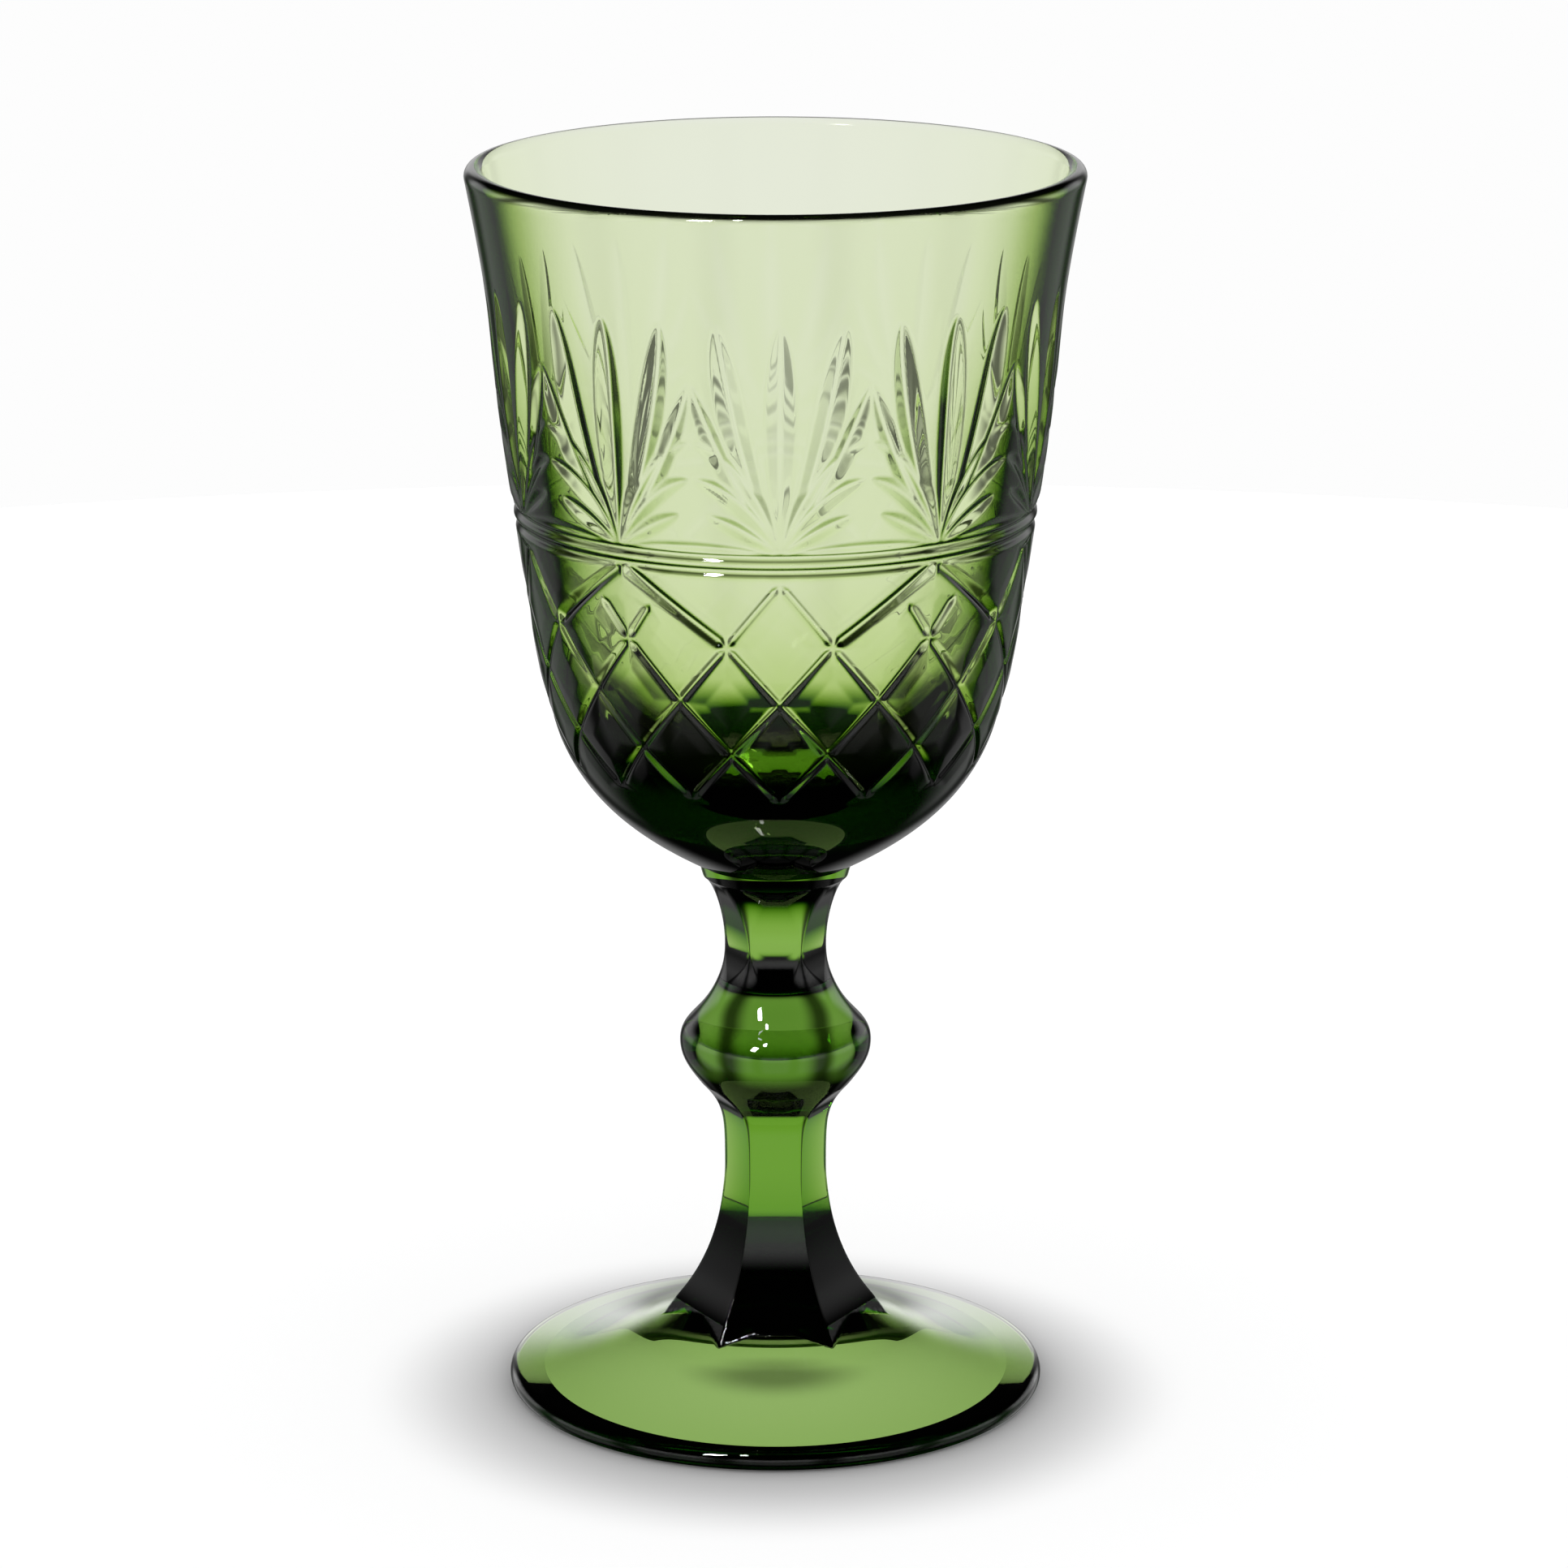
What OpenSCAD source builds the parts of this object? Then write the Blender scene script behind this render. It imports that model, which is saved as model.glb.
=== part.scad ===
// Stemmed drinking goblet in coloured pressed glass. Millimetres, +Z up.
// The origin is the centre of the ring that the foot stands on.

/* [Bowl] */
// Outer diameter of the bowl at the widest circle of its lip
rim_d = 84.6; // [80:0.2:90]
// Thickness of the wall at the lip, which is rounded over this width
rim_wall = 2.8; // [2:0.1:4]
// Height of the bowl, from the collar to the top of the lip
bowl_h = 98.2; // [92:0.2:104]
// Angle by which the lip flares out from upright, in degrees
rim_flare = 11; // [5:1:15]
// Outer diameter of the bowl at the belt under the fans
belt_d = 72.4; // [68:0.2:76]
// Height of the belt above the bottom of the bowl
belt_rise = 51.4; // [46:0.2:56]
// Angle by which the wall leans out at the belt, in degrees
belt_lean = 8.5; // [4:0.5:12]
// Thickness of the wall at the belt
belt_wall = 3.6; // [3:0.1:5]
// Angle of the bowl's underside where it leaves the collar, from upright, in degrees
base_spread = 62; // [50:1:70]
// Thickness of glass under the lowest point of the inside
floor_t = 13; // [9:0.5:16]

/* [Collar] */
// Height of the fused collar between the bowl and the stem
collar_h = 1.8; // [1.2:0.1:3]
// Diameter of the collar where the bowl sits on it
collar_top_d = 21.4; // [19:0.2:24]
// Diameter of the collar where it sits on the stem
collar_foot_d = 20.4; // [18:0.2:24]

/* [Stem] */
// Height of the stem's piece between the knop and the collar
upper_stem_h = 14.9; // [12:0.1:20]
// Width of that piece across its corners at the waist
upper_waist_d = 14.2; // [12:0.2:17]
// Height of that waist above the knop
upper_waist_rise = 4.6; // [4:0.1:6]
// Height of the stem's piece between the foot and the knop
lower_stem_h = 32.8; // [28:0.2:40]
// Width of that piece across its corners at the waist
lower_waist_d = 14.3; // [12:0.2:17]
// Depth of that waist below the knop
lower_waist_drop = 12.5; // [11:0.1:15]
// Width across the corners where the stem's flare meets the foot
flare_d = 28.5; // [26:0.5:32]
// Number of flat facets round the stem
facets = 6; // [5:1:8]
// How much the sharp corners between the facets are rounded off
corner_soft = 0.5; // [0.3:0.1:0.8]

/* [Knop] */
// Height of the knop, the swelling in the middle of the stem
knop_h = 15.3; // [13:0.1:20]
// Diameter of the knop at its widest
knop_d = 26.9; // [23:0.2:32]
// Height of the widest circle above the bottom of the knop
knop_rise = 5.9; // [5:0.1:8]
// Diameter of the knop's flat top, where the stem's upper piece meets it
knop_top_d = 15.8; // [15:0.1:18]
// Diameter of the knop's flat bottom, where the stem's lower piece meets it
knop_foot_d = 21.2; // [19:0.1:23]

/* [Foot] */
// Diameter of the foot
foot_d = 75.8; // [68:0.2:84]
// Height of the foot, from the table to where the stem's flare begins
foot_h = 12; // [11:0.2:14]
// Thickness of the foot's rounded edge
foot_edge = 2.9; // [2:0.1:4]
// Diameter of the circle where the foot's round top begins to rise to the stem
foot_rise_d = 38; // [35:1:42]
// Height of the foot's top on that circle
foot_rise_h = 8.1; // [7.6:0.1:9]
// Width of the flat ring that the foot stands on
foot_ring = 4; // [3:0.5:7]
// Depth of the hollow under the foot
foot_hollow = 9.3; // [7:0.1:9.6]

/* [Belt grooves] */
// Depth of the two grooves cut round the bowl at the belt
belt_cut = 0.8; // [0.4:0.1:1.2]
// Height of the upper groove above the lower one
belt_gap = 2; // [1.8:0.1:3]

/* [Hidden] */
$fn = 96;
glass = [0.36, 0.55, 0.22, 0.85];
steps = 10;               // pieces in each curved stretch of an outline

// Levels, one above the other
knop_z = foot_h + lower_stem_h;
upper_z = knop_z + knop_h;
collar_z = upper_z + upper_stem_h;
bowl_z = collar_z + collar_h;
top_z = bowl_z + bowl_h;
belt_z = bowl_z + belt_rise;

// A smooth stretch of outline from one station to the next, going down.
// A station is [radius, height, lean, pull up, pull down]: lean is the angle from
// upright by which the outline runs outwards going up, and the pulls are how far
// it keeps that direction above and below the station.
function along(s, pull) = [s[0] + pull * sin(s[2]), s[1] + pull * cos(s[2])];
function mix(a, b, t) = a * (1 - t) + b * t;
function bezier(p, t) =
    let (a = mix(p[0], p[1], t), b = mix(p[1], p[2], t), c = mix(p[2], p[3], t))
    mix(mix(a, b, t), mix(b, c, t), t);
function stretch(high, low) =
    let (p = [[high[0], high[1]], along(high, -high[4]), along(low, low[3]), [low[0], low[1]]])
    [for (i = [0 : steps]) bezier(p, i / steps)];
function outline(stations) =
    [for (k = [0 : len(stations) - 2])
        let (part = stretch(stations[k], stations[k + 1]))
        for (i = [k == 0 ? 0 : 1 : steps]) part[i]];

// Where a rounded edge of radius r about the point c takes over from a wall of the
// given lean, and the arc from one such place round to another
function leave(c, r, lean) = [c[0] + r * cos(lean), c[1] - r * sin(lean)];
function round_edge(c, r, from, to) =
    [for (i = [1 : steps - 1]) let (a = from + (to - from) * i / steps) [c[0] + r * cos(a), c[1] + r * sin(a)]];

// Outlines of the bowl: its lip, its outside and its inside
lip_r = rim_wall / 2;
lip = [rim_d / 2 - lip_r, top_z - lip_r];
lip_out = leave(lip, lip_r, rim_flare);
lip_in = leave(lip, lip_r, rim_flare + 180);
bowl_outer = [
    [lip_out[0], lip_out[1], rim_flare, 0, 25],
    [belt_d / 2, belt_z, belt_lean, 28, 30],
    [collar_top_d / 2, bowl_z, base_spread, 25, 0]
];
bowl_inner = [
    [lip_in[0], lip_in[1], rim_flare, 0, 25],
    [belt_d / 2 - belt_wall, belt_z, belt_lean, 28, 28],
    [0, bowl_z + floor_t, 90, 20, 0]
];

// Outlines of the stem. The stem's corners lie on these, and its ends at the knop
// and the collar are round.
upper_outer = [
    [collar_foot_d / 2, collar_z, 52, 0, 2],
    [upper_waist_d / 2, upper_z + upper_waist_rise, 0, 4.3, 2],
    [knop_top_d / 2, upper_z, -20.5, 1.2, 0]
];
knop_outer = [
    [knop_top_d / 2, upper_z, -20.5, 0, 6.4],
    [knop_d / 2, knop_z + knop_rise, 0, 3.4, 2.2],
    [knop_foot_d / 2, knop_z, 38, 2.8, 0]
];
lower_outer = [
    [knop_foot_d / 2, knop_z, 38, 0, 5.2],
    [lower_waist_d / 2, knop_z - lower_waist_drop, 0, 8, 5.7],
    [flare_d / 2, foot_h, -38, 8.1, 0]
];

// Half the width across the flats, where corner_r is half the width across the
// rounded corners. At a round end the flats start from the same circle and run in
// more steeply.
run_in = 12;
function flat(corner_r) = (corner_r + corner_soft) * cos(180 / facets);
function at_flats(stations, ends) =
    [for (k = [0 : len(stations) - 1])
        let (s = stations[k])
        ends[k] ? [s[0], s[1], s[2] + run_in * sign(s[2]), s[3], s[4]]
            : [flat(s[0]), s[1], s[2], s[3], s[4]]];

// Outlines of the foot: its round top, the skirt that carries the stem's flats out
// over it, its rounded edge and the hollow under it
skirt_short = 2.2;        // how far inside that top's rise the corners end
skirt_lift = 0.35;        // how far above its foot, which is still inside the glass
top_slope = -79;          // lean of the round top where it meets the edge
edge_r = foot_edge / 2;
edge = [foot_d / 2 - edge_r, edge_r];
edge_out = leave(edge, edge_r, top_slope);
foot_outer = [
    [flat(flare_d / 2) - 0.3, foot_h, -50, 0, 3],
    [foot_rise_d / 2, foot_rise_h, -64, 3, 6],
    [edge_out[0], edge_out[1], top_slope, 6, 0]
];
skirt_outer = [
    [flare_d / 2, foot_h, -38, 0, 2],
    [foot_rise_d / 2 - skirt_short, foot_rise_h + skirt_lift, -38, 2, 0]
];
hollow_outer = [
    [0, foot_hollow, -90, 0, 9],
    [edge[0] - foot_ring, 0, -76, 12, 0]
];

function upwards(pts) = [for (i = [len(pts) - 1 : -1 : 0]) pts[i]];

// A body of revolution with the given outline down its outside, filled to the axis
module turned(stations) {
    pts = outline(stations);
    last = len(pts) - 1;
    rotate_extrude()
        polygon(concat([[0, pts[0][1]]], pts, [[0, pts[last][1]]]));
}

// A faceted length of stem: flats across, rounded where the corners would pass the
// outline of the corners, and round wherever the flats run out beyond it
around = facets * 8;
function off_flat(turn) =
    let (span = 360 / facets, off = (turn + 90 + span / 2) % span)
    off - span / 2;
function section(corner, flats) =
    [for (j = [0 : around - 1])
        let (turn = j * 360 / around, r = min(corner[0], flats[0] / cos(off_flat(turn))))
        [r * cos(turn), r * sin(turn), corner[1]]];
module faceted(corners, flats) {
    c = outline(corners);
    f = outline(flats);
    last = len(c) - 1;
    points = [for (i = [0 : last]) each section(c[i], f[i])];
    sides = [for (i = [0 : last - 1], j = [0 : around - 1])
        let (a = i * around + j, b = i * around + (j + 1) % around)
        each [[a, b, a + around], [b, b + around, a + around]]];
    top = [for (j = [around - 1 : -1 : 0]) j];
    bottom = [for (j = [0 : around - 1]) last * around + j];
    polyhedron(points, concat([top, bottom], sides));
}

// A V-shaped groove round the bowl, as deep as belt_cut under the wall's surface
module belt_groove(radius, z) {
    rotate_extrude()
        translate([radius, z])
            rotate(45)
                square(belt_cut * sqrt(2), center = true);
}

module bowl() {
    color(glass)
    difference() {
        rotate_extrude()
            polygon(concat(
                outline(bowl_outer),
                [[0, bowl_z]],
                upwards(outline(bowl_inner)),
                round_edge(lip, lip_r, 180 - rim_flare, -rim_flare)));
        belt_groove(belt_d / 2, belt_z);
        belt_groove(belt_d / 2 - belt_gap * tan(belt_lean), belt_z - belt_gap);
    }
}

module stem_collar() {
    color(glass)
    translate([0, 0, collar_z])
        cylinder(h = collar_h, d1 = collar_foot_d, d2 = collar_top_d);
}

module upper_stem() {
    color(glass)
    faceted(upper_outer, at_flats(upper_outer, [true, false, true]));
}

module knop() {
    color(glass)
    turned(knop_outer);
}

module lower_stem() {
    color(glass)
    faceted(lower_outer, at_flats(lower_outer, [true, false, false]));
}

module foot() {
    color(glass)
    union() {
        rotate_extrude()
            polygon(concat(
                [[0, foot_h]],
                outline(foot_outer),
                round_edge(edge, edge_r, -top_slope, -90),
                [[edge[0], 0]],
                upwards(outline(hollow_outer))));
        faceted(skirt_outer, at_flats(skirt_outer, [false, false]));
    }
}

bowl();
stem_collar();
upper_stem();
knop();
lower_stem();
foot();
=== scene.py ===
"""Looks of a stemmed goblet in green pressed glass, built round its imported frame.

Sizes are real ones in millimetres, in the frame's own axes: +Z up, with the centre of the ring
that the foot stands on as the origin. Azimuths are in degrees from the front, -Y, towards +X.
Meshes are turned to metres where they are made.
"""

from __future__ import annotations

import logging
import math
from dataclasses import dataclass, field, replace
from enum import Enum
from typing import Iterable, Sequence, Union

import bpy
import numpy as np
from bpy.types import ID, Material, Mesh, Node, NodeSocket, Object, World
from mathutils import Euler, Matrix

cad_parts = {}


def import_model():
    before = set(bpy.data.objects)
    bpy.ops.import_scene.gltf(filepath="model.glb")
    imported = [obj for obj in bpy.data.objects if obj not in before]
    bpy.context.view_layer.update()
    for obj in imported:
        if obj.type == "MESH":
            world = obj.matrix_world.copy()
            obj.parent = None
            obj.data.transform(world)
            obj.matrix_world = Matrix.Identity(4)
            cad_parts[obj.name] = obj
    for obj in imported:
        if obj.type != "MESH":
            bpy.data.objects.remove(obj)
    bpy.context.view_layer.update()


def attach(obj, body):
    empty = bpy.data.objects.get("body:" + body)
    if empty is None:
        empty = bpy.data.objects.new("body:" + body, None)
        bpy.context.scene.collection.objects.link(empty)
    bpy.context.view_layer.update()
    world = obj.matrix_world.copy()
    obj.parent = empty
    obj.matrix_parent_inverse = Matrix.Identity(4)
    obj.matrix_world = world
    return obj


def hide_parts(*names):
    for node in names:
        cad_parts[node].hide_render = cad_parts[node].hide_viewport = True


LOG = logging.getLogger("goblet")
MM = 0.001


class Slot(Enum):
    """Material slots of the record."""

    BOWL = "bowl_glass"
    STEM = "stem_glass"


# Outlines
# --------


@dataclass(frozen=True)
class Station:
    """A place on an outline, with the direction in which the outline passes it.

    Attributes:
        radius: Distance from the axis.
        height: Height.
        lean: Angle from upright by which the outline runs outwards going up.
        pull_up: How far the outline keeps that direction above the station.
        pull_down: The same below it.
    """

    radius: float
    height: float
    lean: float
    pull_up: float = 0.0
    pull_down: float = 0.0

    def along(self, pull: float) -> np.ndarray:
        """Returns the point that lies the given way along the station's direction."""
        turn = math.radians(self.lean)
        return np.array([self.radius + pull * math.sin(turn), self.height + pull * math.cos(turn)])

    def at_radius(self, radius: float) -> Station:
        """Returns the same station moved to another radius."""
        return replace(self, radius=radius)


class Outline:
    """A smooth line through stations, from the highest one down.

    It has so many steps from one station to the next, and its direction is felt that far ahead.
    """

    STEPS = 200
    PROBE = 0.05

    def __init__(self, stations: Sequence[Station]) -> None:
        """Samples the line densely.

        Args:
            stations: The places that the line passes, from the top down.
        """
        parts = [self._stretch(a, b) for a, b in zip(stations, stations[1:])]
        self.points = np.vstack([parts[0]] + [p[1:] for p in parts[1:]])
        step = np.hypot(*np.diff(self.points, axis=0).T)
        self.way = np.concatenate([[0.0], np.cumsum(step)])

    @classmethod
    def _stretch(cls, high: Station, low: Station) -> np.ndarray:
        """Returns the points of one stretch, a cubic between two stations."""
        a, d = high.along(0), low.along(0)
        b, c = high.along(-high.pull_down), low.along(low.pull_up)
        t = np.linspace(0, 1, cls.STEPS + 1)[:, None]
        return (1 - t) ** 3 * a + 3 * (1 - t) ** 2 * t * b + 3 * (1 - t) * t * t * c + t ** 3 * d

    @property
    def length(self) -> float:
        """Length of the line in mm."""
        return float(self.way[-1])

    def at(self, way: np.ndarray) -> np.ndarray:
        """Returns the points at the given distances from the top, as rows of radius and height."""
        return np.column_stack([np.interp(way, self.way, self.points[:, k]) for k in (0, 1)])

    def outward(self, way: np.ndarray) -> np.ndarray:
        """Returns unit vectors square to the line and away from the axis, at the given distances."""
        ahead = self.at(way + self.PROBE) - self.at(way - self.PROBE)
        ahead /= np.hypot(*ahead.T)[:, None]
        return np.column_stack([-ahead[:, 1], ahead[:, 0]])

    def way_at_height(self, height: float | np.ndarray) -> np.ndarray:
        """Returns how far down the line a height lies."""
        return np.interp(-np.asarray(height, float), -self.points[:, 1], self.way)

    def radius_at(self, height: float | np.ndarray) -> np.ndarray:
        """Returns the radius at a height."""
        return np.interp(-np.asarray(height, float), -self.points[:, 1], self.points[:, 0])

    def height_at(self, radius: float | np.ndarray) -> np.ndarray:
        """Returns the height at a radius, for a line whose radius grows all the way down."""
        return np.interp(radius, self.points[:, 0], self.points[:, 1])


# Bodies made of rings
# --------------------


def in_scene(name: str, data: ID) -> Object:
    """Returns a new object in the scene, with the given mesh, light or camera."""
    holder = bpy.data.objects.new(name, data)
    bpy.context.scene.collection.objects.link(holder)
    return holder


@dataclass
class Ring:
    """One closed loop of points round the axis, from the front towards +X.

    Attributes:
        section: The x and y of its points, in rows.
        heights: Their heights.
        crease: True where the surface turns sharply at this loop.
    """

    section: np.ndarray
    heights: np.ndarray
    crease: bool = False

    @classmethod
    def turned(cls, radii: np.ndarray, heights: np.ndarray, crease: bool = False) -> Ring:
        """Returns a ring of points at even turns, each with its own radius and height."""
        turn = 2 * math.pi * np.arange(len(radii)) / len(radii)
        return cls(np.column_stack([radii * np.sin(turn), -radii * np.cos(turn)]), heights, crease)

    def points(self) -> np.ndarray:
        """Returns the ring's points in mm."""
        return np.column_stack([self.section, self.heights])


class RingBody:
    """A closed body whose skin runs from the axis, through rings, back to the axis."""

    FUSED = "fused"

    def __init__(self, name: str, bottom: float, top: float) -> None:
        """Starts a body.

        Args:
            name: Name of the piece.
            bottom: Height on the axis where the skin starts.
            top: Height on the axis where it ends.
        """
        self.name = name
        self.ends = (bottom, top)
        self.rings: list[Ring] = []

    def add(self, rings: Iterable[Ring]) -> None:
        """Adds rings, in the order in which the skin meets them."""
        self.rings.extend(rings)

    def turn(self, line: Iterable[Sequence[float]], count: int, creases: Sequence[int] = ()) -> None:
        """Adds round, level rings at places on a line.

        Args:
            line: Radius and height of each place.
            count: Points in each ring.
            creases: Which of the places are creased.
        """
        for k, (radius, height) in enumerate(line):
            ring = Ring.turned(np.full(count, radius), np.full(count, height), crease=k in creases)
            self.rings.append(ring)

    def build(self, fused: Sequence[bool]) -> Object:
        """Makes the mesh object.

        Args:
            fused: Whether the flat at the start and the flat at the end lie inside the glass,
                against the next piece.

        Returns:
            The object, linked to the scene.
        """
        counts = [len(r.heights) for r in self.rings]
        starts = np.concatenate([[0], np.cumsum(counts)])
        axis = [int(starts[-1]), int(starts[-1]) + 1]
        points = np.vstack([r.points() for r in self.rings] + [[[0, 0, z]] for z in self.ends])
        first, last = np.arange(counts[0]), starts[-2] + np.arange(counts[-1])
        start_cap = np.column_stack([np.full(len(first), axis[0]), np.roll(first, -1), first])
        end_cap = np.column_stack([last, np.roll(last, -1), np.full(len(last), axis[1])])
        walls = [self._wall(*pair) for pair in zip(starts, counts, starts[1:], counts[1:])]
        threes = np.vstack([start_cap, end_cap] + [w for w in walls if w.shape[1] == 3])
        fours = np.vstack([w for w in walls if w.shape[1] == 4])
        mesh = bpy.data.meshes.new(self.name)
        self._fill(mesh, points * MM, threes, fours)
        inside = np.zeros(len(mesh.polygons), np.float32)
        inside[: len(start_cap)] = fused[0]
        inside[len(start_cap) : len(start_cap) + len(end_cap)] = fused[1]
        mesh.attributes.new(self.FUSED, "FLOAT", "FACE").data.foreach_set("value", inside)
        self._crease(mesh, starts, counts)
        return in_scene(self.name, mesh)

    @staticmethod
    def _wall(a: int, a_count: int, b: int, b_count: int) -> np.ndarray:
        """Returns the faces between two neighbouring rings, whose counts are equal or divide."""
        if a_count == b_count:
            i = np.arange(a_count)
            j = np.roll(i, -1)
            return np.column_stack([a + i, a + j, b + j, b + i])
        if a_count > b_count:
            span = a_count // b_count
            i = np.arange(a_count)
            fine = np.column_stack([a + i, a + np.roll(i, -1), b + ((i + span // 2) // span) % b_count])
            k = np.arange(b_count)
            middle = (k * span + (span + 1) // 2) % a_count
            return np.vstack([fine, np.column_stack([a + middle, b + np.roll(k, -1), b + k])])
        flipped = RingBody._wall(b, b_count, a, a_count)
        return flipped[:, ::-1]

    @staticmethod
    def _fill(mesh: Mesh, points: np.ndarray, threes: np.ndarray, fours: np.ndarray) -> None:
        """Writes points and faces into an empty mesh, triangles first."""
        mesh.vertices.add(len(points))
        mesh.vertices.foreach_set("co", points.astype(np.float32).ravel())
        corners = np.concatenate([threes.ravel(), fours.ravel()]).astype(np.int32)
        mesh.loops.add(len(corners))
        mesh.loops.foreach_set("vertex_index", corners)
        mesh.polygons.add(len(threes) + len(fours))
        begins = np.concatenate([np.arange(len(threes)) * 3, threes.size + np.arange(len(fours)) * 4])
        mesh.polygons.foreach_set("loop_start", begins.astype(np.int32))
        mesh.polygons.foreach_set("use_smooth", np.ones(len(begins), bool))
        mesh.update(calc_edges=True)

    def _crease(self, mesh: Mesh, starts: np.ndarray, counts: Sequence[int]) -> None:
        """Marks the edges that lie along creased rings as sharp."""
        owner = np.concatenate([np.repeat(np.arange(len(counts)), counts), [-1, -2]])
        creased = np.array([r.crease for r in self.rings] + [False, False])
        ends = np.zeros(len(mesh.edges) * 2, np.int32)
        mesh.edges.foreach_get("vertices", ends)
        a, b = owner[ends[0::2]], owner[ends[1::2]]
        sharp = (a == b) & creased[a]
        mesh.attributes.new("sharp_edge", "BOOLEAN", "EDGE").data.foreach_set("value", sharp)


# Finishes
# --------


Feed = Union[NodeSocket, float, Sequence[float]]


class NodeKit:
    """Short ways to add nodes to the tree of a material or of the world."""

    def __init__(self, owner: Material | World) -> None:
        """Turns the owner's nodes on and keeps its tree."""
        owner.use_nodes = True
        self.tree = owner.node_tree

    def feed(self, socket: NodeSocket, value: Feed) -> None:
        """Links an input to an output, or sets it where it gets a number or a colour."""
        if isinstance(value, NodeSocket):
            self.tree.links.new(value, socket)
        else:
            socket.default_value = value

    def add(self, kind: str, *values: Feed, operation: str | None = None) -> Node:
        """Adds a node.

        Args:
            kind: Its kind, without the words that every kind begins with.
            values: What its inputs get, from the first one on.
            operation: What it works out, where its kind offers a choice.

        Returns:
            The node.
        """
        node = self.tree.nodes.new("ShaderNode" + kind)
        if operation:
            node.operation = operation
        for socket, value in zip(node.inputs, values):
            self.feed(socket, value)
        return node

    def maths(self, operation: str, *values: Feed) -> NodeSocket:
        """Works out a number from others and returns it."""
        return self.add("Math", *values, operation=operation).outputs[0]

    def ramp(
        self, value: NodeSocket, edges: Sequence[float], first: Feed = 1.0, last: Feed = 0.0
    ) -> NodeSocket:
        """Makes a soft step from one level to another.

        Args:
            value: The number that says how far the step has gone.
            edges: What it is where the step begins and where it ends.
            first: Level before the step.
            last: Level after it.

        Returns:
            The level.
        """
        node = self.add("MapRange", value, *edges, first, last)
        node.interpolation_type = "SMOOTHSTEP"
        return node.outputs["Result"]

    def cover(self, skin: Node, other: Node, share: NodeSocket) -> None:
        """Gives the material a share of another shader in place of its own skin."""
        mix = self.add("MixShader", share, skin.outputs[0], other.outputs[0])
        self.feed(self.tree.nodes["Material Output"].inputs["Surface"], mix.outputs["Shader"])

    def far_side(self) -> NodeSocket:
        """Returns 1 on walls beyond the axis, as the ray comes, and 0 on those before it."""
        geometry = self.add("NewGeometry").outputs
        level = self.add("VectorMath", geometry["Position"], (1, 1, 0), operation="MULTIPLY")
        towards = self.add("VectorMath", level.outputs[0], geometry["Normal"], operation="DOT_PRODUCT")
        return self.maths("LESS_THAN", towards.outputs["Value"], 0.0)


@dataclass(frozen=True)
class PaintedShade:
    """Painted shade: how much the glass's colour is darkened where it is seen aslant, at given heights or
    where its surface leans, for the dark surroundings that such glass shows.

    Each of the three adds to one measure. Up to the start the colour is left white, and at the end
    only the least share of it is left.

    Attributes:
        start: Measure at which the glass begins to darken.
        end: Measure at which it is darkest.
        least: Share of the colour that is left there.
        powers: How much more of it red, green and blue each lose on the way there.
        thick: Steps of painted shade by height, mostly where the glass is thicker: for each, the height in
            mm at which it is over, the one at which it begins, and what it adds to the measure.
        lean_share: What a level surface adds to it, against an upright one.
        far_ease: What it takes off on the far side of the axis, where one looks at a wall's inside.
    """

    start: float
    end: float
    least: float = 0.003
    powers: tuple[float, float, float] = (1.2, 0.85, 2.0)
    thick: tuple[tuple[float, float, float], ...] = ()
    lean_share: float = 0.0
    far_ease: float = 0.0

    def colour(self, kit: NodeKit) -> NodeSocket:
        """Adds the nodes for the painted shade and returns its colour."""
        geometry = kit.add("NewGeometry").outputs
        height = kit.add("SeparateXYZ", geometry["Position"]).outputs["Z"]
        measure = kit.add("LayerWeight").outputs["Facing"]
        for low, high, share in self.thick:
            measure = kit.maths("ADD", measure, kit.ramp(height, (low * MM, high * MM), share))
        if self.lean_share:
            upward = kit.add("SeparateXYZ", geometry["Normal"]).outputs["Z"]
            lean = kit.maths("MULTIPLY", kit.maths("ABSOLUTE", upward), self.lean_share)
            measure = kit.maths("ADD", measure, lean)
        if self.far_ease:
            ease = kit.maths("MULTIPLY", kit.far_side(), -self.far_ease)
            measure = kit.maths("ADD", measure, ease)
        unshaded_share = kit.ramp(measure, (self.start, self.end), last=self.least)
        channels = [kit.maths("POWER", unshaded_share, power) for power in self.powers]
        return kit.add("CombineColor", *channels).outputs["Color"]


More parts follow.
